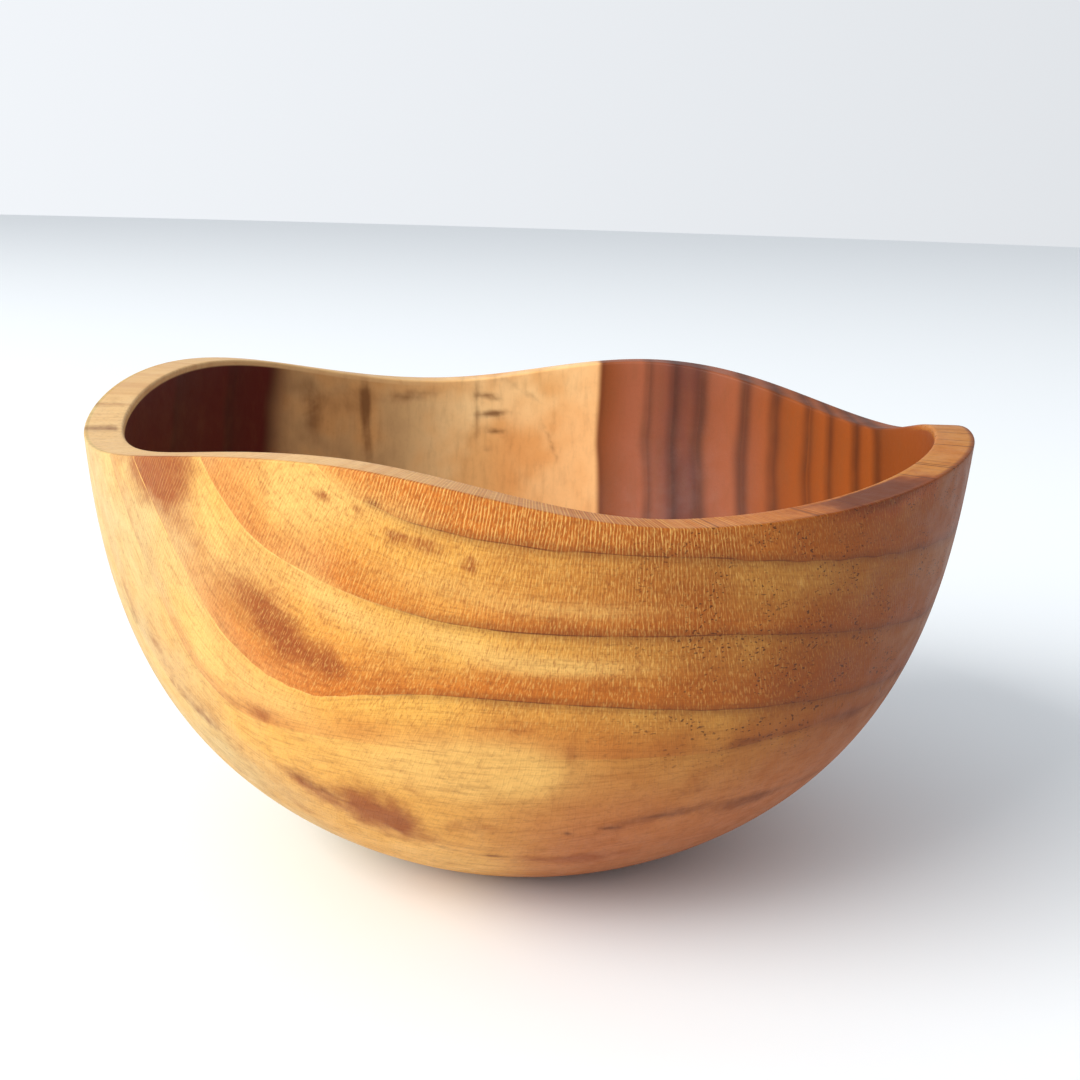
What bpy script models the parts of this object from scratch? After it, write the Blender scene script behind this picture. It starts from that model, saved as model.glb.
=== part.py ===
"""Carved wooden bowl: one block of wood, turned round and hollowed, with its rim cut in four slow
waves.

Metres, +Z up. The origin is the centre of the flat foot, on the surface that the bowl stands on.
+X is the bowl's right side and -Y is its front. The bowl is a single piece, so it is one object.
"""
import math

import bmesh
import bpy

# Driving dimensions, in metres.
WALL_RADIUS = 0.1017        # the radius that the outer wall nears as it climbs
WALL_REACH = 0.2317         # the height over which the wall's curve would turn upright
POLE_DEPTH = 0.0067         # how far below the foot the wall's curve would close to a point
SIDE_POWER = 6.0            # a larger power straightens the side sooner
BELLY_POWER = 1.6           # a larger power makes the belly fuller
MEAN_RIM_HEIGHT = 0.1004
RIM_WIDTH = 0.0084          # the wall's thickness at the rim
RIM_EASING = 0.0011         # the radius of the rim's two softened edges
FLOOR_THICKNESS = 0.0105
FOOT_EASING = 0.0010        # how far in from the wall's curve the flat foot ends
WAVE_START = 0.040          # below this height the bowl is truly round and level

# Each dip and crest of the rim: degrees from +X towards +Y, and height above the foot.
RIM_TURNS = [
    (22.0, 0.0955), (67.0, 0.1045), (106.5, 0.0970), (154.0, 0.1061),
    (203.0, 0.0975), (247.5, 0.1043), (288.0, 0.0953), (353.0, 0.1019),
]

# Mesh fineness.
TURN_STEPS = 80             # facets round the bowl
WALL_ROWS = 15              # rows of facets up each side of the wall
EASING_STEPS = 3            # facets across each softened edge

WOOD_COLOR = (0.60, 0.29, 0.095, 1.0)
WOOD_ROUGHNESS = 0.42


def wall_curve(share):
    """The wall's radius, as a share of WALL_RADIUS, at a share of WALL_REACH."""
    return (1.0 - (1.0 - share) ** SIDE_POWER) ** (1.0 / BELLY_POWER)


def outer_radius(height):
    """The outer wall's radius at a height above the foot."""
    return WALL_RADIUS * wall_curve((height + POLE_DEPTH) / WALL_REACH)


def inner_radius(height):
    """The hollow's radius at a height: the same curve, drawn in by the rim's width at the rim."""
    rim_share = (MEAN_RIM_HEIGHT + POLE_DEPTH) / WALL_REACH
    climbed = (height - FLOOR_THICKNESS) / (MEAN_RIM_HEIGHT - FLOOR_THICKNESS)
    mouth_radius = outer_radius(MEAN_RIM_HEIGHT) - RIM_WIDTH
    return mouth_radius * wall_curve(rim_share * climbed) / wall_curve(rim_share)


def rim_height(angle):
    """The rim's height at an angle in degrees: half a cosine wave from each turn to the next."""
    first_angle, first_height = RIM_TURNS[0]
    turns = RIM_TURNS + [(first_angle + 360.0, first_height)]
    angle = (angle - first_angle) % 360.0 + first_angle
    for (start, low), (end, high) in zip(turns, turns[1:]):
        if angle <= end:
            swing = (1.0 - math.cos(math.pi * (angle - start) / (end - start))) / 2.0
            return low + (high - low) * swing
    return first_height


def easing_arc(centre_radius, centre_height, start, end):
    """Points on a softened edge, from one angle to another, in degrees."""
    points = []
    for step in range(EASING_STEPS + 1):
        turn = math.radians(start + (end - start) * step / EASING_STEPS)
        points.append((centre_radius + RIM_EASING * math.cos(turn),
                       centre_height + RIM_EASING * math.sin(turn)))
    return points


def wall_rows(radius_at, bottom, top):
    """Points up a wall, closer together near the bottom, where it bends most."""
    points = []
    for row in range(1, WALL_ROWS):
        height = bottom + (top - bottom) * (row / WALL_ROWS) ** 1.5
        points.append((radius_at(height), height))
    return points


def half_section():
    """The turned section as (radius, height): up the inside, over the rim, down the outside."""
    mouth = outer_radius(MEAN_RIM_HEIGHT) - RIM_WIDTH
    shoulder = MEAN_RIM_HEIGHT - RIM_EASING
    inside = wall_rows(inner_radius, FLOOR_THICKNESS, shoulder)
    inner_edge = easing_arc(mouth + RIM_EASING, shoulder, 180.0, 90.0)
    outer_edge = easing_arc(mouth + RIM_WIDTH - RIM_EASING, shoulder, 90.0, 0.0)
    outside = wall_rows(outer_radius, 0.0, shoulder)
    outside.reverse()
    floor_centre = [(0.0, FLOOR_THICKNESS)]
    foot = [(outer_radius(0.0) - FOOT_EASING, 0.0), (0.0, 0.0)]
    return floor_centre + inside + inner_edge + outer_edge + outside + foot


def add_object(name, mesh, collection):
    obj = bpy.data.objects.new(name, mesh)
    collection.objects.link(obj)
    return obj


def turned_blank(collection):
    """The bowl before its rim is waved: the half section turned about Z."""
    section = half_section()
    mesh = bpy.data.meshes.new("half_section")
    edges = [(i, i + 1) for i in range(len(section) - 1)]
    mesh.from_pydata([(radius, 0.0, height) for radius, height in section], edges, [])
    blank = add_object("turned_blank", mesh, collection)
    screw = blank.modifiers.new("turn", "SCREW")
    screw.axis = "Z"
    screw.angle = 2.0 * math.pi
    screw.steps = TURN_STEPS
    screw.render_steps = TURN_STEPS
    screw.use_merge_vertices = True
    screw.merge_threshold = 0.00001
    return blank


def applied_mesh(obj, name):
    """A new mesh of the object with its modifiers applied; the object is then removed."""
    depsgraph = bpy.context.evaluated_depsgraph_get()
    mesh = bpy.data.meshes.new_from_object(obj.evaluated_get(depsgraph))
    mesh.name = name
    bpy.data.objects.remove(obj)
    return mesh


def wave_share(height):
    """How much of the rim's wave a height takes: none low down, all of it at the rim."""
    climbed = (height - WAVE_START) / (MEAN_RIM_HEIGHT - RIM_EASING - WAVE_START)
    climbed = min(max(climbed, 0.0), 1.0)
    return climbed * climbed * (3.0 - 2.0 * climbed)


def wave_rim(mesh):
    """Lifts and lowers the wall's upper rows to the waved rim, along the wall's own curve."""
    work = bmesh.new()
    work.from_mesh(mesh)
    for vert in work.verts:
        share = wave_share(vert.co.z)
        radius = math.hypot(vert.co.x, vert.co.y)
        if share == 0.0 or radius == 0.0:
            continue
        angle = math.degrees(math.atan2(vert.co.y, vert.co.x))
        height = vert.co.z + share * (rim_height(angle) - MEAN_RIM_HEIGHT)
        stretch = 1.0 + (outer_radius(height) - outer_radius(vert.co.z)) / radius
        vert.co = (vert.co.x * stretch, vert.co.y * stretch, height)
    work.to_mesh(mesh)
    work.free()


def wood_material():
    material = bpy.data.materials.new("teak")
    material.use_nodes = True
    shader = material.node_tree.nodes["Principled BSDF"]
    shader.inputs["Base Color"].default_value = WOOD_COLOR
    shader.inputs["Roughness"].default_value = WOOD_ROUGHNESS
    shader.inputs["Metallic"].default_value = 0.0
    return material


def main():
    for obj in list(bpy.data.objects):
        bpy.data.objects.remove(obj, do_unlink=True)
    collection = bpy.data.collections.new("carved_wooden_bowl")
    bpy.context.scene.collection.children.link(collection)
    mesh = applied_mesh(turned_blank(collection), "bowl")
    wave_rim(mesh)
    mesh.shade_smooth()
    mesh.set_sharp_from_angle(angle=math.radians(50.0))
    mesh.materials.append(wood_material())
    add_object("bowl", mesh, collection)


main()
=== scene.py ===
"""Looks for the carved wooden bowl: a fine mesh of its surface, and oiled teak made with nodes.

Metres, +Z up, in the frame's own coordinates. The bowl's right is +X and its front is -Y. An
angle goes round the bowl in degrees, from +X towards +Y, so its front is at 270.
"""
import math

import bpy
import numpy as np
from mathutils import Euler, Matrix, Vector


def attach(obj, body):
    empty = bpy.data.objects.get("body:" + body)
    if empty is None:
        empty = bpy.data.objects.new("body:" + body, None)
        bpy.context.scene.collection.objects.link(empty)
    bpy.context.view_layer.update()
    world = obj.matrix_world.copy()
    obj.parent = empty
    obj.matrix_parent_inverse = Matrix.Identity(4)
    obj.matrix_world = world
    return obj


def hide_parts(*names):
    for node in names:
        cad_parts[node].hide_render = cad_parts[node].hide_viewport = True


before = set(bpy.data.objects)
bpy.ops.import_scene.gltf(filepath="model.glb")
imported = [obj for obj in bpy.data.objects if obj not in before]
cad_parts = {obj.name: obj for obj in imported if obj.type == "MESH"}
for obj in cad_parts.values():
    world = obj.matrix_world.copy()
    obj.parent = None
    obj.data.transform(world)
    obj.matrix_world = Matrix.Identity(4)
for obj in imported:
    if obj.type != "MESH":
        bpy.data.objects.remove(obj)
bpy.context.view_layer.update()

# The bowl's shape, as the CAD model has it, in metres.
WALL_RADIUS = 0.1017
WALL_REACH = 0.2317
POLE_DEPTH = 0.0067
SIDE_POWER = 6.0
BELLY_POWER = 1.6
MEAN_RIM_HEIGHT = 0.1004
RIM_WIDTH = 0.0084
RIM_EASING = 0.0011
INNER_EDGE = 0.0007         # the rim's edges are crisper here than in the CAD model
OUTER_EDGE = 0.0004
FLOOR_THICKNESS = 0.0105
FOOT_EASING = 0.0010
WAVE_START = 0.040
RIM_TURNS = [
    (22.0, 0.0955), (67.0, 0.1045), (106.5, 0.0970), (154.0, 0.1061),
    (203.0, 0.0975), (247.5, 0.1043), (288.0, 0.0953), (353.0, 0.1019),
]

# Mesh fineness.
COLUMNS = 400
WALL_ROWS = 84
RIM_ROWS = 8
EASING_ROWS = 6
DISC_ROWS = 14
ROW_CROWDING = 1.35         # above 1, the wall's rows are closer together low down

# The setting. Each room strength is its left, its right, and how far across they are reached.
ROOM_SEEN = (0.97, 0.80, 0.4)
ROOM_GLOW = (0.85, 0.62, 0.5)
ROOM_COLOR = (0.93, 0.96, 1.0, 1.0)
WINDOW_PLACE = (-2.7, -1.65, 1.95)
WINDOW_SIZE = (3.0, 2.4)
WINDOW_WATTS = 178.0
WINDOW_COLOR = (1.0, 0.99, 0.97)
WINDOW_AIM = (0.0, 0.0, 0.05)
FLOOR_RADIUS = 6.0
FLOOR_COLOR = (0.86, 0.89, 0.91, 1.0)

# The camera stands close to the front and looks a little down and to the right, in degrees.
CAMERA_PLACE = (0.0, -0.3528, 0.1516)
CAMERA_DOWN = 12.93
CAMERA_RIGHT = 0.53
CAMERA_ROLL = 1.755
LENS_MM = 50.71
SENSOR_MM = 36.0

MM = 0.001
ARC_MM = 1.62               # millimetres of wall to a degree of turn, about the belly
BELLY_MM = math.degrees(ARC_MM)     # the belly's radius, from that


# ---------------------------------------------------------------- shape

def wall_curve(share):
    return (1.0 - (1.0 - share) ** SIDE_POWER) ** (1.0 / BELLY_POWER)


def outer_radius(height):
    return WALL_RADIUS * wall_curve((height + POLE_DEPTH) / WALL_REACH)


def inner_radius(height):
    rim_share = (MEAN_RIM_HEIGHT + POLE_DEPTH) / WALL_REACH
    climbed = np.maximum(height - FLOOR_THICKNESS, 0.0) / (MEAN_RIM_HEIGHT - FLOOR_THICKNESS)
    mouth_radius = outer_radius(MEAN_RIM_HEIGHT) - RIM_WIDTH
    return mouth_radius * wall_curve(rim_share * climbed) / wall_curve(rim_share)


def rim_height(angles):
    """The rim's height at each angle: half a cosine wave from each turn to the next."""
    first_angle, first_height = RIM_TURNS[0]
    turns = RIM_TURNS + [(first_angle + 360.0, first_height)]
    angles = (angles - first_angle) % 360.0 + first_angle
    heights = np.full_like(angles, first_height)
    for (start, low), (end, high) in zip(turns, turns[1:]):
        here = (angles >= start) & (angles <= end)
        swing = (1.0 - np.cos(np.pi * (angles[here] - start) / (end - start))) / 2.0
        heights[here] = low + (high - low) * swing
    return heights


def arc(centre_radius, easing, start, end):
    """The rim's softened edge, up to the mean rim height."""
    turn = np.radians(np.linspace(start, end, EASING_ROWS))
    return np.stack([centre_radius + easing * np.cos(turn),
                     MEAN_RIM_HEIGHT - easing + easing * np.sin(turn)], axis=1)


def wall(radius_at, bottom, top):
    """Rows up one face of the wall."""
    heights = bottom + (top - bottom) * (np.arange(1, WALL_ROWS) / WALL_ROWS) ** ROW_CROWDING
    return np.stack([radius_at(heights), heights], axis=1)


def half_section():
    """The section from the floor's centre to the foot's centre, and each row's part of the bowl."""
    lip = outer_radius(MEAN_RIM_HEIGHT)
    mouth = lip - RIM_WIDTH
    foot_radius = outer_radius(0.0) - FOOT_EASING
    rim_radii = np.linspace(mouth + INNER_EDGE, lip - OUTER_EDGE, RIM_ROWS)[1:-1]
    disc_radii = np.linspace(foot_radius, 0.0, DISC_ROWS, endpoint=False)
    parts = [
        ("inside", wall(inner_radius, FLOOR_THICKNESS, MEAN_RIM_HEIGHT - INNER_EDGE)),
        ("inner_edge", arc(mouth + INNER_EDGE, INNER_EDGE, 180.0, 90.0)),
        ("rim", np.stack([rim_radii, np.full_like(rim_radii, MEAN_RIM_HEIGHT)], axis=1)),
        ("outer_edge", arc(lip - OUTER_EDGE, OUTER_EDGE, 90.0, 0.0)),
        ("outside", wall(outer_radius, 0.0, MEAN_RIM_HEIGHT - OUTER_EDGE)[::-1]),
        ("foot", np.stack([disc_radii, np.zeros_like(disc_radii)], axis=1)),
    ]
    names = [name for name, points in parts for _ in points]
    return np.concatenate([points for _, points in parts]), names


def smooth_step(value, start, end):
    share = np.clip((value - start) / (end - start), 0.0, 1.0)
    return share * share * (3.0 - 2.0 * share)


def waved(section, angles):
    """Radius and height of every grid point, with the rim's wave taken up by the upper wall."""
    radius = np.repeat(section[:, 0:1], COLUMNS, axis=1)
    height = np.repeat(section[:, 1:2], COLUMNS, axis=1)
    share = smooth_step(height, WAVE_START, MEAN_RIM_HEIGHT - RIM_EASING)
    lifted = height + share * (rim_height(angles)[None, :] - MEAN_RIM_HEIGHT)
    shift = outer_radius(lifted) - outer_radius(height)
    return radius + np.where(share > 0.0, shift, 0.0), lifted


# ---------------------------------------------------------------- grain

# The exterior's growth lines, each (degrees from the front right, height in mm). They hang as
# nested curves from the rim at the left to the rim at the back right.
GROWTH_LINES = [
    [(-110, 250), (-70, 112), (-66.6, 104), (-63, 99.3), (-56.5, 95), (-50, 92.7), (-42, 91.2),
     (-26, 89.4), (-12, 87.2), (7, 84.8), (25, 83.5), (40, 86), (50, 93), (57, 104), (61, 114),
     (100, 250)],
    [(-125, 250), (-85, 112), (-81.4, 102.8), (-79, 96.3), (-75, 89), (-71.4, 85.9), (-67.3, 83),
     (-62, 80.4), (-54, 77.6), (-46, 76.1), (-35, 75.4), (-21, 74.6), (-7, 71.7), (14, 67.7),
     (40, 66), (58, 70), (70, 82), (78, 100), (82, 114), (121, 250)],
    [(-138, 250), (-98, 112), (-94, 99.3), (-91, 92), (-89, 86.6), (-85, 76.5), (-82, 68.5),
     (-76, 61.5), (-69.4, 58.5), (-63, 61), (-55, 62.9), (-45, 62.3), (-34, 61), (-21, 58.7),
     (0, 56), (25, 53), (50, 52), (72, 58), (88, 74), (98, 98), (103, 114), (142, 250)],
    [(-144, 250), (-104, 112), (-99, 92), (-93, 74), (-90.7, 63.5), (-87.7, 56), (-84, 52),
     (-79, 50), (-65, 50.5), (-45, 50), (-21, 49), (-10, 50.5), (0, 50.8), (20, 49), (50, 44),
     (75, 44), (95, 58), (108, 84), (116, 114), (155, 250)],
    [(-155, 250), (-115, 112), (-108, 80), (-102, 56), (-95, 43), (-87.5, 38), (-81, 32),
     (-67, 30), (-50, 27), (-39, 29.5), (-26, 33.5), (-12, 34), (2, 33), (30, 30), (60, 28),
     (85, 34), (105, 56), (120, 88), (128, 114), (167, 250)],
    [(-168, 250), (-130, 112), (-119, 70), (-110, 40), (-98, 22), (-80, 15), (-40, 12), (0, 14),
     (40, 13), (80, 14), (105, 26), (125, 70), (136, 114), (172, 250)],
    [(-180, 220), (-158, 112), (-146, 60), (-130, 20), (-100, 4), (0, 2), (100, 3), (130, 20),
     (148, 60), (160, 112), (180, 220)],
]
FRONT_RIGHT = 315.0
TOP_LINE_MM = 128.0
BOTTOM_LINE_MM = -25.0
PITH_TURN = -37.0           # the rays stand upright here, in degrees from the front right
RAY_LEVEL_MM = 70.0         # the height that the rays lean about
RAY_LEAN_MM = 80.0          # the distance from PITH_TURN in which their lean grows by 1 in 1
RAY_FADE_MM = 130.0         # the distance in which that lean dies away again
RAY_COUNT = 760.0           # rays in one turn of the bowl
# The brown right side is partly the wood's own colour and partly painted shade.
LEFT_TURN = -125.0          # the middles of the pale left side and the brown right side
RIGHT_TURN = 40.0

# Across the hollow the growth layers stand upright: where each dark edge lies, in mm along X.
UPRIGHT_LINES = [
    -112, -98, -88, -79, -70, -47, -12, 20, 34, 41, 48, 59.5, 67, 75, 79, 84, 87.5, 96, 112,
]
FIRST_UPRIGHT = 20.0        # their first ring number, clear of the outside's numbers
GAP_RANGE_MM = (1.0, 60.0)  # the least and most allowed from one growth line to the next
LINE_STEP = 0.5             # a growth line is rounded off on points this many degrees apart,
LINE_ROUNDING = 6           # over this many points to each side

# Soft marks on the outside: angle, height in mm, half length and half width in mm, lean in
# degrees from level, and strength.
RED_MARKS = [
    (226.0, 98.5, 6.5, 10.0, -80.0, 1.6), (230.5, 86.0, 10.0, 5.0, -62.0, 0.4),
    (241.0, 74.5, 13.0, 5.6, -48.0, 0.8), (247.5, 67.5, 12.0, 4.4, -20.0, 0.6),
    (256.8, 92.8, 2.2, 1.4, 0.0, 1.1), (260.0, 91.6, 3.6, 1.7, -10.0, 1.2),
    (264.4, 88.6, 1.5, 1.0, 0.0, 1.5), (249.0, 99.0, 1.4, 0.9, 0.0, 1.2),
    (253.0, 96.5, 1.6, 1.0, 0.0, 1.2), (242.0, 99.0, 2.4, 1.4, -60.0, 0.9),
    (247.5, 33.5, 11.0, 5.5, -14.0, 0.8), (251.0, 30.0, 15.0, 7.0, -12.0, 0.75),
    (238.0, 36.0, 9.0, 2.6, -30.0, 0.6), (236.5, 52.0, 4.0, 1.8, 10.0, 0.7),
    (224.0, 45.0, 15.0, 3.4, -26.0, 0.5), (281.0, 20.0, 18.0, 2.0, 2.0, 0.7),
    (264.0, 31.0, 7.0, 1.6, 0.0, 0.5), (270.0, 61.5, 20.0, 2.0, -2.0, 0.35),
    (278.0, 76.6, 20.0, 1.5, -3.0, 0.35), (314.0, 97.6, 17.0, 3.4, 6.0, 1.5),
    (268.0, 56.5, 12.0, 1.6, 2.0, 0.5),
]
GOLD_MARKS = [
    (249.0, 99.5, 10.0, 5.0, -26.0, 1.0), (245.0, 96.0, 8.0, 6.0, -50.0, 0.9),
    (258.0, 97.0, 7.0, 2.6, -20.0, 0.5), (229.0, 66.0, 14.0, 5.5, -62.0, 1.2),
    (239.0, 57.0, 11.0, 4.0, -20.0, 0.7), (235.5, 88.0, 10.0, 3.2, -50.0, 0.9),
    (249.5, 79.0, 12.0, 3.2, -30.0, 1.0), (263.0, 73.8, 12.0, 2.4, -14.0, 0.8),
    (274.0, 69.5, 15.0, 2.0, -2.0, 1.0), (262.0, 84.5, 12.0, 2.6, -8.0, 0.5),
    (260.0, 45.0, 26.0, 8.0, -4.0, 0.9), (255.0, 15.0, 24.0, 9.0, 0.0, 1.0),
    (267.0, 48.0, 16.0, 7.0, 0.0, 0.8), (301.0, 84.0, 1.2, 0.45, 10.0, 3.0),
    (275.0, 80.5, 16.0, 2.0, -2.0, 0.6), (212.0, 52.0, 12.0, 5.0, -50.0, 0.6),
]
BROWN_MARKS = [
    (228.0, 54.5, 9.0, 1.8, -14.0, 0.6), (223.0, 44.5, 14.0, 2.4, -26.0, 0.6),
    (239.0, 36.5, 8.0, 2.0, -24.0, 0.6), (210.0, 64.0, 10.0, 2.0, -50.0, 0.45),
    (243.5, 34.4, 5.0, 1.2, -22.0, 0.5), (283.0, 30.6, 3.6, 0.7, 8.0, 1.0),
    (277.3, 29.4, 1.8, 0.45, 0.0, 1.0), (290.0, 33.0, 10.0, 1.5, 6.0, 1.0),
    (306.0, 32.6, 14.0, 2.2, 0.0, 0.9), (300.0, 50.3, 12.0, 1.5, 4.0, 0.9),
    (318.0, 49.8, 10.0, 2.0, -4.0, 0.8), (294.0, 71.8, 0.8, 0.7, 0.0, 1.3),
    (254.5, 98.6, 1.7, 0.8, -8.0, 1.3), (268.0, 56.0, 3.0, 0.3, 4.0, 0.9),
    (266.0, 20.5, 5.0, 0.4, 0.0, 0.8), (258.0, 22.5, 4.0, 0.5, -8.0, 0.8),
    (249.0, 31.5, 7.0, 1.8, -16.0, 0.5), (313.0, 97.6, 13.0, 2.2, 8.0, 1.5),
    (194.0, 98.4, 3.4, 5.0, 0.0, 0.75), (183.0, 101.0, 2.4, 4.0, 0.0, 0.6),
    (277.0, 24.0, 14.0, 0.8, 4.0, 0.6), (296.0, 40.0, 12.0, 1.0, 8.0, 0.5),
]

# Soft marks in the hollow's pale sapwood, in the same terms.
SMEARS = [
    (121.0, 88.0, 14.0, 1.5, 90.0, 1.0), (127.0, 92.0, 9.0, 5.0, 0.0, 0.6),
    (97.5, 92.5, 3.8, 1.0, 6.0, 1.0), (97.0, 87.6, 4.0, 1.1, -4.0, 1.1),
    (96.6, 82.6, 3.2, 1.0, 3.0, 1.0), (98.0, 77.6, 1.8, 0.9, 0.0, 0.8),
    (99.7, 88.0, 11.0, 0.6, 90.0, 0.7), (86.0, 80.0, 10.0, 0.8, 66.0, 0.55),
    (112.0, 93.0, 10.0, 1.8, -4.0, 0.6), (132.0, 88.0, 13.0, 2.6, 88.0, 0.6),
    (90.0, 93.0, 8.0, 1.2, 30.0, 0.45),
]


def line_heights(points, turns):
    """A growth line's height at every turn, with its corners rounded."""
    fine = np.arange(-200.0, 200.0 + LINE_STEP, LINE_STEP)
    heights = np.interp(fine, *zip(*points))
    kernel = np.hanning(2 * LINE_ROUNDING + 1)
    padded = np.pad(heights, LINE_ROUNDING, mode="edge")
    rounded = np.convolve(padded, kernel / kernel.sum(), mode="valid")
    return np.interp(turns, fine, rounded)


def hanging_rings(turns, height_mm):
    """The outside's ring number: whole on each growth line, and even in between."""
    levels = [np.full_like(turns, TOP_LINE_MM)]
    for points in GROWTH_LINES:
        line = line_heights(points, turns)
        levels.append(np.minimum(line, levels[-1] - 1.0))
    levels.append(np.full_like(turns, BOTTOM_LINE_MM))
    rings = np.zeros_like(height_mm)
    for upper, lower in zip(levels, levels[1:]):
        rings += np.clip((upper - height_mm) / (upper - lower), 0.0, 1.0)
    return rings


def upright_rings(x_mm):
    """The hollow's ring number: whole on each upright line."""
    return np.interp(x_mm, UPRIGHT_LINES, np.arange(len(UPRIGHT_LINES)) + FIRST_UPRIGHT)


def soft_marks(marks, angles, height_mm):
    """The summed strength of soft oval marks at each point of the wall."""
    total = np.zeros_like(height_mm)
    for angle, height, length, width, lean, strength in marks:
        across = ((angles - angle + 180.0) % 360.0 - 180.0) * ARC_MM
        up = height_mm - height
        tilt = math.radians(lean)
        along = across * math.cos(tilt) + up * math.sin(tilt)
        aside = up * math.cos(tilt) - across * math.sin(tilt)
        total += strength * np.exp(-(along / length) ** 2 - (aside / width) ** 2)
    return total


def ring_spacing(rings, points):
    """Millimetres from one growth line to the next, from the ring number's slope on the grid."""
    def slope(axis, wrap):
        if wrap:
            step = np.roll(points, -1, axis) - np.roll(points, 1, axis)
            rise = np.roll(rings, -1, axis) - np.roll(rings, 1, axis)
        else:
            step = np.gradient(points, axis=axis) * 2.0
            rise = np.gradient(rings, axis=axis) * 2.0
        return rise / np.maximum(np.linalg.norm(step, axis=2), 1e-7)
    steepness = np.hypot(slope(0, False), slope(1, True))
    return np.clip(1.0 / np.maximum(steepness * MM, 1e-4), *GAP_RANGE_MM)


def swirl(turns, height_mm):
    """A place round the wall in mm, on a circle so that it has no seam, leaning with the rays."""
    across = (turns - PITH_TURN) * ARC_MM
    lean = -across / RAY_LEAN_MM * np.exp(-(across / RAY_FADE_MM) ** 2)
    turned = (across - lean * (height_mm - RAY_LEVEL_MM)) / BELLY_MM
    return np.cos(turned) * BELLY_MM, np.sin(turned) * BELLY_MM


def grain_fields(names, angles, height, points):
    """Every named field that the wood reads, on the grid."""
    kind = np.repeat(np.array(names)[:, None], COLUMNS, axis=1)
    angle_grid = np.repeat(angles[None, :], len(names), axis=0)
    turns = (angle_grid - FRONT_RIGHT + 180.0) % 360.0 - 180.0
    height_mm, x_mm = height / MM, points[:, :, 0] / MM
    marked = np.isin(kind, ["outside", "outer_edge", "rim"])
    hanging, upright = hanging_rings(turns, height_mm), upright_rings(x_mm)
    round_x, round_y = swirl(turns, height_mm)
    return {
        "hanging": hanging,
        "hanging_gap": ring_spacing(hanging, points),
        "upright": upright,
        "upright_gap": ring_spacing(upright, points),
        "round_x": round_x,
        "round_y": round_y,
        "inside": np.isin(kind, ["inside", "inner_edge"]),
        "rim": np.isin(kind, ["rim", "inner_edge"]),
        "red": soft_marks(RED_MARKS, angle_grid, height_mm) * marked,
        "gold": soft_marks(GOLD_MARKS, angle_grid, height_mm) * marked,
        "brown": soft_marks(BROWN_MARKS, angle_grid, height_mm) * marked,
        "smear": soft_marks(SMEARS, angle_grid, height_mm),
        "left": np.cos(np.radians(turns - LEFT_TURN)),
        "right": np.cos(np.radians(turns - RIGHT_TURN)),
        "front": np.cos(np.radians(turns - PITH_TURN)),
    }


# ---------------------------------------------------------------- mesh

def bowl_mesh():
    """A grid round the section, closed by a fan at the floor and one at the foot."""
    section, names = half_section()
    angles = np.arange(COLUMNS) * 360.0 / COLUMNS
    radius, height = waved(section, angles)
    turn = np.radians(angles)[None, :]
    points = np.stack([radius * np.cos(turn), radius * np.sin(turn), height], axis=2)
    rows = len(section)
    index = np.arange(rows * COLUMNS).reshape(rows, COLUMNS)
    after = np.roll(index, -1, axis=1)
    quads = np.stack([index[:-1], index[1:], after[1:], after[:-1]], axis=2).reshape(-1, 4)
    floor_centre, foot_centre = rows * COLUMNS, rows * COLUMNS + 1
    verts = np.concatenate([points.reshape(-1, 3), [[0, 0, FLOOR_THICKNESS], [0, 0, 0]]])
    floor_fan = [(floor_centre, a, b) for a, b in zip(index[0], after[0])]
    foot_fan = [(foot_centre, b, a) for a, b in zip(index[-1], after[-1])]
    mesh = bpy.data.meshes.new("bowl_wood")
    mesh.from_pydata(verts.tolist(), [], quads.tolist() + floor_fan + foot_fan)
    for name, grid in grain_fields(names, angles, height, points).items():
        grid = np.asarray(grid, dtype=np.float32)
        values = np.concatenate([grid.reshape(-1), [grid[0].mean(), grid[-1].mean()]])
        mesh.attributes.new(name, "FLOAT", "POINT").data.foreach_set("value", values)
    mesh.shade_smooth()
    return mesh


# ---------------------------------------------------------------- nodes

def srgb(red, green, blue):
    """A screen colour, 0 to 255, as the linear colour that a shader takes."""
    def linear(value):
        value /= 255.0
        return value / 12.92 if value <= 0.04045 else ((value + 0.055) / 1.055) ** 2.4
    return (linear(red), linear(green), linear(blue), 1.0)


# The outside.
# BROWN is the brown of the fibres, and on the right side it is also painted shade.
GOLD, ORANGE, BROWN = srgb(228, 170, 78), srgb(198, 113, 38), srgb(118, 54, 8)
PALE, BRIGHT, ROSE = srgb(202, 180, 124), srgb(230, 180, 100), srgb(178, 106, 60)
RED, UMBER, DARK = srgb(140, 66, 24), srgb(96, 46, 22), srgb(66, 30, 12)
# The rim's pale left side.
FACE, FACE_DEEP = srgb(224, 184, 128), srgb(210, 164, 110)
# The hollow's sapwood, and its heartwood.
SAP, SAP_TAN, SAP_GREY = srgb(246, 206, 146), srgb(224, 168, 104), srgb(160, 120, 76)
SAP_ORANGE, SMEAR = srgb(218, 140, 70), srgb(112, 70, 36)
HEART_ROSE, HEART_PLUM, HEART_ORANGE = srgb(150, 82, 52), srgb(104, 52, 38), srgb(142, 70, 22)
HEART_DARK, HEART_LINE = srgb(84, 18, 6), srgb(58, 24, 10)


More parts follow.
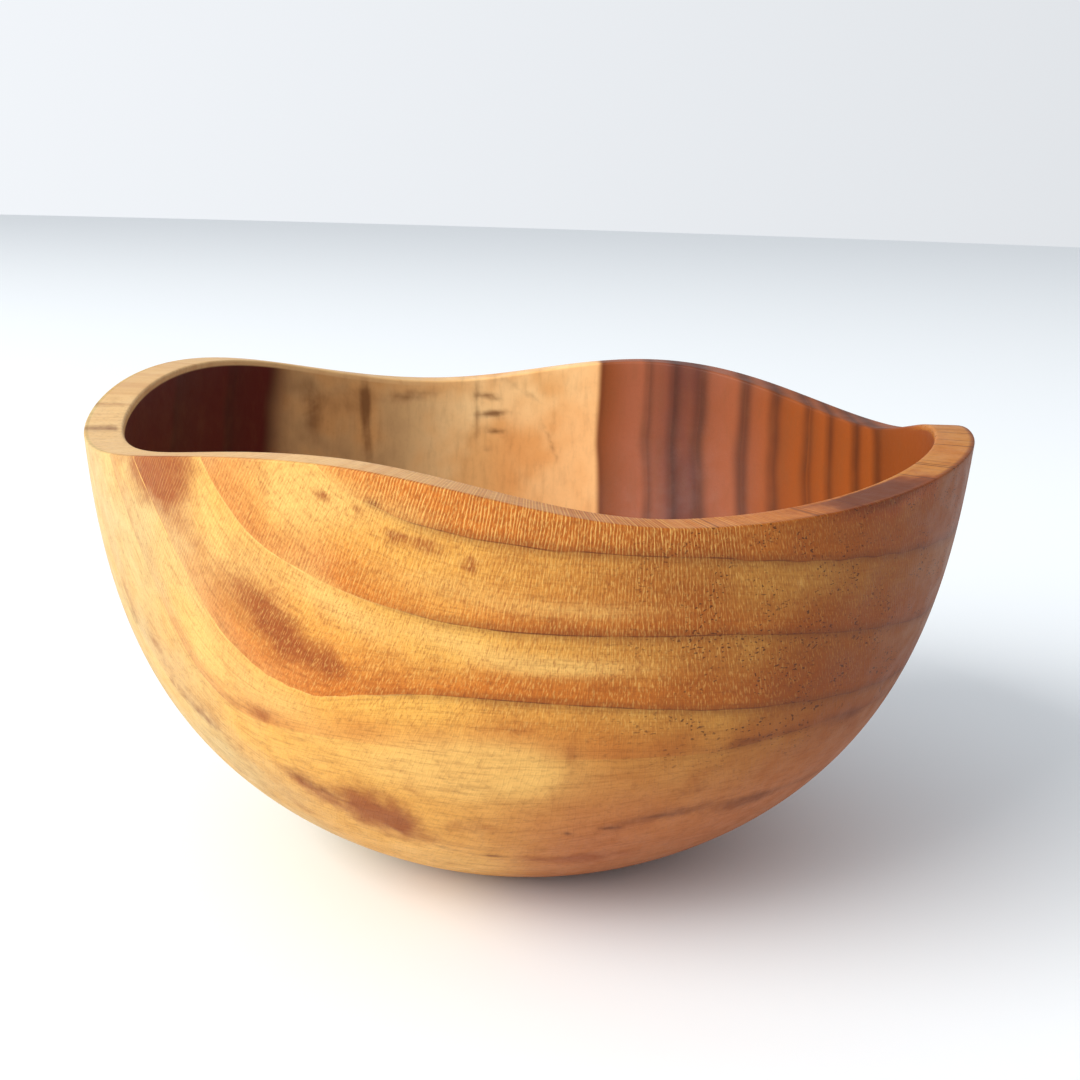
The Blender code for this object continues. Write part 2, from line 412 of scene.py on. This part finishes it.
class Graph:
    """A short way to write a material's nodes."""

    def __init__(self, name):
        self.material = bpy.data.materials.new(name)
        self.material.use_nodes = True
        self.tree = self.material.node_tree
        self.shader = self.tree.nodes["Principled BSDF"]

    def add(self, kind, inputs=(), **settings):
        node = self.tree.nodes.new(kind)
        for key, value in settings.items():
            setattr(node, key, value)
        for key, value in dict(inputs).items():
            self.feed(node.inputs[key], value)
        return node

    def feed(self, socket, value):
        if isinstance(value, bpy.types.NodeSocket):
            self.tree.links.new(value, socket)
        else:
            socket.default_value = value

    def field(self, name):
        return self.add("ShaderNodeAttribute", attribute_name=name).outputs["Fac"]

    def math(self, operation, a, b=0.0, c=0.0):
        return self.add("ShaderNodeMath", {0: a, 1: b, 2: c}, operation=operation).outputs[0]

    def times(self, *values):
        product = values[0]
        for value in values[1:]:
            product = self.math("MULTIPLY", product, value)
        return product

    def point(self, x, y, z):
        return self.add("ShaderNodeCombineXYZ", {"X": x, "Y": y, "Z": z}).outputs[0]

    def noise(self, vector, scale, detail=2.0, roughness=0.5, distortion=0.0):
        node = self.add("ShaderNodeTexNoise", {
            "Vector": vector, "Scale": scale, "Detail": detail,
            "Roughness": roughness, "Distortion": distortion})
        return node.outputs["Fac"]

    def step(self, value, start, end, low=0.0, high=1.0):
        """Goes smoothly from low at start to high at end."""
        node = self.add("ShaderNodeMapRange", {
            "Value": value, "From Min": start, "From Max": end, "To Min": low, "To Max": high},
            interpolation_type="SMOOTHSTEP")
        return node.outputs[0]

    def fade(self, share, a, b):
        """A number between a and b."""
        node = self.add("ShaderNodeMix", {0: share, 2: a, 3: b}, data_type="FLOAT")
        return node.outputs[0]

    def mix(self, share, a, b):
        """A colour between a and b."""
        node = self.add("ShaderNodeMix", {0: share, 6: a, 7: b}, data_type="RGBA")
        return node.outputs[2]


class Teak(Graph):
    """Oiled teak: one look for the outside, one for the hollow, and the rim between them."""

    def __init__(self):
        super().__init__("oiled_teak")
        place = self.add("ShaderNodeTexCoord").outputs["Object"]
        self.x, self.y, self.z = self.add("ShaderNodeSeparateXYZ", {"Vector": place}).outputs
        self.z_mm = self.math("MULTIPLY", self.z, 1000.0)
        self.round_x, self.round_y = self.field("round_x"), self.field("round_y")
        self.left, self.right, self.front = (self.field(n) for n in ("left", "right", "front"))
        self.rim = self.field("rim")

        self.drift = self.noise(place, 14.0, 2.0, 0.5)
        self.cloud = self.noise(place, 38.0, 3.0, 0.55)
        self.mottle = self.noise(place, 170.0, 4.0, 0.6)
        self.speck = self.noise(place, 900.0, 2.0, 0.6)
        self.wander = self.math("SUBTRACT", self.cloud, 0.5)
        self.patchy = self.math("SUBTRACT", self.mottle, 0.5)
        self.blotch = self.math("SUBTRACT", self.noise(place, 90.0, 3.0, 0.6, 0.6), 0.5)

        hanging = self.field("hanging")
        self.ring = self.math("MULTIPLY_ADD", self.wander, 0.05, hanging)
        self.fibres = self.around(8.0, self.times(hanging, 20.0), 0.62,
                                  detail=4.0, roughness=0.65)
        self.brown_marks = self.soft_marks("brown", 1.2, 0.8, 0.16, 1.15, 0.80)
        self.sway = self.upright_sway()
        self.band_x = self.math("MULTIPLY_ADD", self.sway, 0.0040, self.x)
        self.heart_right = self.step(self.band_x, 0.0190, 0.0212)

    def around(self, pitch, height, pitch_up, **settings):
        """Noise with features of one size, in mm, around the wall and of another up it."""
        vector = self.point(self.math("DIVIDE", self.round_x, pitch),
                            self.math("DIVIDE", self.round_y, pitch),
                            self.math("DIVIDE", height, pitch_up))
        return self.noise(vector, 1.0, **settings)

    def soft_marks(self, name, blotch, patchy, start, end, most):
        """How strongly a field's soft ovals show, with their edges broken up by noise."""
        strength = self.math("MULTIPLY_ADD", self.blotch, blotch, self.field(name))
        strength = self.math("MULTIPLY_ADD", self.patchy, patchy, strength)
        return self.step(strength, start, end, 0.0, most)

    def growth(self, rings, gap):
        """How far through its ring a point is, a random number for the ring, and mm to a line."""
        part = self.math("FRACT", rings)
        number = self.math("FLOOR", rings)
        middle = self.math("ABSOLUTE", self.math("SUBTRACT", part, 0.5))
        line_mm = self.times(self.math("SUBTRACT", 0.5, middle), gap)
        noise = self.add("ShaderNodeTexWhiteNoise", {"W": number}, noise_dimensions="1D")
        return part, noise.outputs["Value"], line_mm

    # ---- the outside

    def ground(self, part, chance):
        """Gold at the left, orange in front and brown at the right, deeper towards each line. The
        right's brown is partly the wood's own colour and partly painted shade.
        """
        tone = self.times(self.math("POWER", part, 1.6), self.step(chance, 0.0, 1.0, 0.7, 1.0),
                          self.step(self.z, 0.042, 0.060))
        tone = self.math("MULTIPLY_ADD", self.math("SUBTRACT", self.drift, 0.5), 1.2, tone)
        tone = self.math("MULTIPLY_ADD", self.wander, 1.1, tone)
        colour = self.mix(self.step(tone, -0.24, 0.84), GOLD, ORANGE)

        top_band = self.times(self.step(self.ring, 1.05, 0.85),
                              self.step(self.front, 0.55, 0.90), 0.75)
        colour = self.mix(top_band, colour, ORANGE)
        # Painted shade: the right side is mixed further towards dark brown than its wood, standing
        # in for the dim light that falls there.
        brown_and_shaded_side = self.math("MULTIPLY_ADD", self.wander, 0.5, self.right)
        brown_and_shade_share = self.times(self.step(brown_and_shaded_side, -0.05, 0.82),
                                 self.step(self.rim, 0.0, 1.0, 0.90, 0.35))
        colour = self.mix(brown_and_shade_share, colour, BROWN)
        low = self.times(self.step(self.z, 0.060, 0.028),
                         self.step(self.right, -0.35, 0.35), 0.85)
        colour = self.mix(low, colour, ROSE)
        pale_side = self.math("MULTIPLY_ADD", self.wander, 0.6, self.left)
        pale_share = self.step(pale_side, 0.50, 1.05)
        return self.mix(self.times(pale_share, 0.85), colour, PALE)

    def marked(self, colour):
        """Adds the gold, red and brown marks, the long fibres and a fine mottle."""
        colour = self.mix(self.step(self.field("gold"), 0.0, 1.1, 0.0, 0.9), colour, BRIGHT)
        colour = self.mix(self.soft_marks("red", 1.5, 0.8, 0.10, 1.15, 0.9), colour, RED)
        colour = self.mix(self.brown_marks, colour, UMBER)
        fibre_share = self.times(self.step(self.fibres, 0.42, 0.75, 0.0, 0.34),
                                 self.step(self.rim, 0.0, 1.0, 1.0, 0.3))
        colour = self.mix(fibre_share, colour, BROWN)
        return self.mix(self.step(self.mottle, 0.35, 0.75, 0.0, 0.18), colour, RED)

    def rayed(self, colour):
        """Adds fine beaded rays under the front of the rim; also gives where the beads lie."""
        turned = self.times(self.math("ARCTAN2", self.round_y, self.round_x), RAY_COUNT)
        bend = self.around(6.0, self.z_mm, 12.0, detail=2.0, roughness=0.5)
        wave = self.math("SINE", self.math("MULTIPLY_ADD", bend, 20.0, turned))
        beads = self.around(0.7, self.z_mm, 2.2, detail=1.0, roughness=0.6)
        share = self.times(self.step(self.front, 0.30, 0.80), self.step(self.z, 0.052, 0.090),
                           self.step(self.right, 0.62, 0.30),
                           self.step(self.ring, 1.1, 0.9, 0.40, 1.0),
                           self.step(self.cloud, 0.30, 0.60, 0.5, 1.0))
        strokes = self.times(self.step(wave, 0.35, 0.98),
                             self.step(beads, 0.36, 0.56, 0.15, 1.0))
        colour = self.mix(self.times(strokes, share, 0.80), colour, BRIGHT)
        colour = self.mix(self.times(self.step(wave, -0.2, -0.9), share, 0.40), colour, RED)
        return colour, strokes

    def stippled(self, colour):
        """Adds short light and dark flecks across the front."""
        leaning = self.math("MULTIPLY_ADD", self.ring, 3.0, self.z_mm)
        flecks = self.around(0.30, leaning, 0.9, detail=1.0)
        share = self.times(self.step(self.front, 0.50, 0.95), self.step(self.z, 0.050, 0.062))
        light = self.times(self.step(flecks, 0.52, 0.72), share,
                           self.step(self.right, 0.7, 0.3, 0.12, 0.40))
        dark = self.times(self.step(flecks, 0.47, 0.28), share, 0.42)
        return self.mix(dark, self.mix(light, colour, BRIGHT), RED)

    def pores(self):
        """Where the short dark pores lie: in patches, and mostly at the right."""
        leaning = self.math("MULTIPLY_ADD", self.ring, 4.0, self.z_mm)
        dashes = self.around(0.75, leaning, 0.30, detail=0.0)
        scatter = self.around(9.0, self.z_mm, 7.0, detail=1.0)
        share = self.times(self.step(self.right, 0.10, 0.50), self.step(scatter, 0.40, 0.60),
                           self.step(self.z, 0.035, 0.060))
        return self.times(self.step(dashes, 0.66, 0.74), self.step(share, 0.0, 1.0, 0.12, 0.80))

    def lined(self, colour, line_mm):
        """Adds the growth lines: broken threads, pale at the left and dark with a halo elsewhere."""
        dark_side = self.step(self.left, 0.55, 0.28)
        share = self.math("MAXIMUM", self.step(self.ring, 3.6, 3.2),
                          self.step(self.right, 0.2, 0.9, 0.0, 0.6))
        broken = self.step(self.mottle, 0.36, 0.60, 0.2, 1.0)
        thread = self.times(self.step(line_mm, 0.22, 0.04), share, broken, 0.8)
        halo = self.times(self.step(line_mm, 2.2, 0.0), share, dark_side, 0.38)
        colour = self.mix(halo, colour, UMBER)
        return self.mix(thread, colour, self.mix(dark_side, BRIGHT, UMBER))

    def outside(self):
        """The outside's colour, and the height of its fine relief."""
        part, chance, line_mm = self.growth(self.ring, self.field("hanging_gap"))
        colour, strokes = self.rayed(self.marked(self.ground(part, chance)))
        pores = self.pores()
        colour = self.mix(pores, self.stippled(colour), DARK)
        relief = self.math("SUBTRACT", self.times(strokes, 0.4), pores)
        return self.lined(colour, line_mm), relief

    # ---- the hollow

    def upright_sway(self):
        """How the upright bands wander: mostly all together, and partly each on its own."""
        shared = self.noise(self.point(0.0, self.times(self.y, 8.0), self.times(self.z, 42.0)),
                            1.0, 1.0, 0.4)
        own = self.noise(self.point(self.times(self.x, 60.0), 0.0, self.times(self.z, 50.0)),
                         1.0, 1.0, 0.4)
        return self.math("ADD", self.math("SUBTRACT", shared, 0.5),
                         self.times(self.math("SUBTRACT", own, 0.5), 0.7))

    def sapwood(self):
        """Pale wood, greyer towards the left and warmer from the middle on, with soft smears."""
        colour = self.mix(self.step(self.cloud, 0.40, 0.62), SAP, SAP_TAN)
        grey = self.times(self.step(self.x, -0.010, -0.052),
                          self.step(self.cloud, 0.62, 0.36, 0.4, 1.0))
        colour = self.mix(self.times(grey, 0.95), colour, SAP_GREY)
        warm = self.times(self.step(self.x, -0.016, -0.004), self.step(self.drift, 0.38, 0.56), 0.5)
        colour = self.mix(warm, colour, SAP_ORANGE)
        return self.mix(self.soft_marks("smear", 1.3, 0.0, 0.10, 1.10, 0.85), colour, SMEAR)

    def heartwood(self):
        """Rose, plum and orange across the right, and nearly black-red at the left, in bands."""
        colour = self.mix(self.step(self.band_x, 0.020, 0.030), HEART_ORANGE, HEART_ROSE)
        plum = self.times(self.step(self.band_x, 0.033, 0.042),
                          self.step(self.band_x, 0.0495, 0.047))
        colour = self.mix(plum, colour, HEART_PLUM)
        colour = self.mix(self.step(self.band_x, 0.057, 0.070), colour, HEART_ORANGE)
        colour = self.mix(self.step(self.cloud, 0.42, 0.72, 0.0, 0.4), colour, HEART_ORANGE)
        colour = self.mix(self.step(self.x, 0.0, -0.05), colour, HEART_DARK)

        rings = self.math("MULTIPLY_ADD", self.sway, 0.34, self.field("upright"))
        part, chance, line_mm = self.growth(rings, self.field("upright_gap"))
        shade = self.times(self.math("POWER", self.math("SUBTRACT", 1.0, part), 2.5),
                           self.step(part, 0.0, 0.10), 0.45)
        colour = self.mix(shade, colour, HEART_LINE)
        reach_mm = self.math("MULTIPLY_ADD", chance, 3.2, 2.0)
        band = self.times(self.step(self.math("DIVIDE", line_mm, reach_mm), 1.0, 0.0),
                          self.step(chance, 0.0, 1.0, 0.45, 0.85),
                          self.step(self.cloud, 0.3, 0.6, 0.6, 1.0))
        return self.mix(band, colour, HEART_LINE)

    def hollow(self):
        """Sapwood in the middle of the far wall, and banded heartwood at both sides of it."""
        heart = self.heartwood()
        colour = self.mix(self.heart_right, self.sapwood(), heart)
        colour = self.mix(self.step(self.band_x, -0.064, -0.0715), colour, heart)
        streaks = self.noise(self.point(self.times(self.x, 520.0), self.times(self.y, 45.0),
                                        self.times(self.z, 120.0)), 1.0, 3.0, 0.6)
        return self.mix(self.step(streaks, 0.42, 0.8, 0.0, 0.18), colour, SMEAR)

    # ---- the rim

    def hollow_share(self, on_rim):
        """Where the hollow's look shows: inside, on the back half of the rim, and on the back of
        the outside at the right, where the heartwood comes through."""
        back = self.step(self.math("MULTIPLY_ADD", self.wander, 0.02, self.y), 0.010, 0.040)
        share = self.math("MAXIMUM", self.step(self.field("inside"), 0.45, 0.55),
                          self.times(back, self.heart_right))
        return self.fade(on_rim, share, self.step(self.y, -0.004, 0.012))

    def rimmed(self, colour, on_rim):
        """Adds the rim's pale left side, and lets the brown marks cross it."""
        face = self.mix(self.step(self.fibres, 0.4, 0.7), FACE, FACE_DEEP)
        face_share = self.times(on_rim, self.step(self.left, -0.1, 0.6, 0.0, 0.85))
        colour = self.mix(face_share, colour, face)
        return self.mix(self.times(self.brown_marks, on_rim, 0.8), colour, UMBER)


def teak():
    g = Teak()
    on_rim = g.step(g.rim, 0.3, 0.7)
    inside = g.hollow_share(on_rim)
    skin, relief = g.outside()
    colour = g.rimmed(g.mix(inside, skin, g.hollow()), on_rim)
    specks = g.times(g.step(g.speck, 0.45, 0.80), g.fade(inside, 0.22, 0.06))
    g.feed(g.shader.inputs["Base Color"], g.mix(specks, colour, UMBER))
    g.feed(g.shader.inputs["Roughness"], g.step(g.mottle, 0.3, 0.7, 0.42, 0.55))
    g.shader.inputs["Specular IOR Level"].default_value = 0.15

    height = g.math("MULTIPLY_ADD", g.fibres, 0.3, g.times(g.speck, 0.35))
    height = g.math("MULTIPLY_ADD", relief, g.math("SUBTRACT", 1.0, inside), height)
    bump = g.add("ShaderNodeBump", {"Strength": 0.35, "Distance": 0.0002, "Height": height})
    g.feed(g.shader.inputs["Normal"], bump.outputs[0])
    return g.material


# ---------------------------------------------------------------- setting

def make_bowl():
    bowl = bpy.data.objects.new("bowl_wood", bowl_mesh())
    bpy.context.scene.collection.objects.link(bowl)
    bowl.data.materials.append(teak())
    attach(bowl, "root")
    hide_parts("bowl")


def make_floor():
    bpy.ops.mesh.primitive_circle_add(vertices=96, radius=FLOOR_RADIUS, fill_type="NGON")
    floor = bpy.context.object
    floor.name = "floor"
    g = Graph("pale_floor")
    g.shader.inputs["Base Color"].default_value = FLOOR_COLOR
    g.shader.inputs["Roughness"].default_value = 0.85
    floor.data.materials.append(g.material)


def make_sky():
    """A pale room behind the bowl, and around it a dim one that is brighter on the left."""
    world = bpy.data.worlds.new("soft_room")
    bpy.context.scene.world = world
    world.use_nodes = True
    nodes, links = world.node_tree.nodes, world.node_tree.links

    def fade(left, right, reach):
        node = nodes.new("ShaderNodeMapRange")
        for name, value in (("From Min", -reach), ("From Max", reach),
                            ("To Min", left), ("To Max", right)):
            node.inputs[name].default_value = value
        links.new(across, node.inputs["Value"])
        return node.outputs[0]

    split = nodes.new("ShaderNodeSeparateXYZ")
    links.new(nodes.new("ShaderNodeTexCoord").outputs["Generated"], split.inputs[0])
    across = split.outputs[0]
    choice = nodes.new("ShaderNodeMix")
    links.new(nodes.new("ShaderNodeLightPath").outputs["Is Camera Ray"], choice.inputs[0])
    links.new(fade(*ROOM_GLOW), choice.inputs[2])
    links.new(fade(*ROOM_SEEN), choice.inputs[3])
    nodes["Background"].inputs["Color"].default_value = ROOM_COLOR
    links.new(choice.outputs[0], nodes["Background"].inputs["Strength"])


def make_window():
    lamp = bpy.data.lights.new("window", "AREA")
    lamp.shape = "RECTANGLE"
    lamp.size, lamp.size_y = WINDOW_SIZE
    lamp.energy = WINDOW_WATTS
    lamp.color = WINDOW_COLOR
    window = bpy.data.objects.new("window", lamp)
    bpy.context.scene.collection.objects.link(window)
    window.location = WINDOW_PLACE
    aim = Vector(WINDOW_AIM) - window.location
    window.rotation_euler = aim.to_track_quat("-Z", "Y").to_euler()


def make_camera():
    data = bpy.data.cameras.new("camera")
    data.sensor_width = SENSOR_MM
    data.lens = LENS_MM
    camera = bpy.data.objects.new("camera", data)
    bpy.context.scene.collection.objects.link(camera)
    look = Euler((math.radians(90.0 - CAMERA_DOWN), 0.0, math.radians(-CAMERA_RIGHT)))
    roll = Matrix.Rotation(math.radians(CAMERA_ROLL), 4, "Z")
    place = Matrix.Translation(CAMERA_PLACE)
    camera.matrix_world = place @ look.to_matrix().to_4x4() @ roll
    bpy.context.scene.camera = camera


make_camera()
make_sky()
make_window()
make_floor()
make_bowl()
bpy.context.scene.view_settings.view_transform = "Standard"
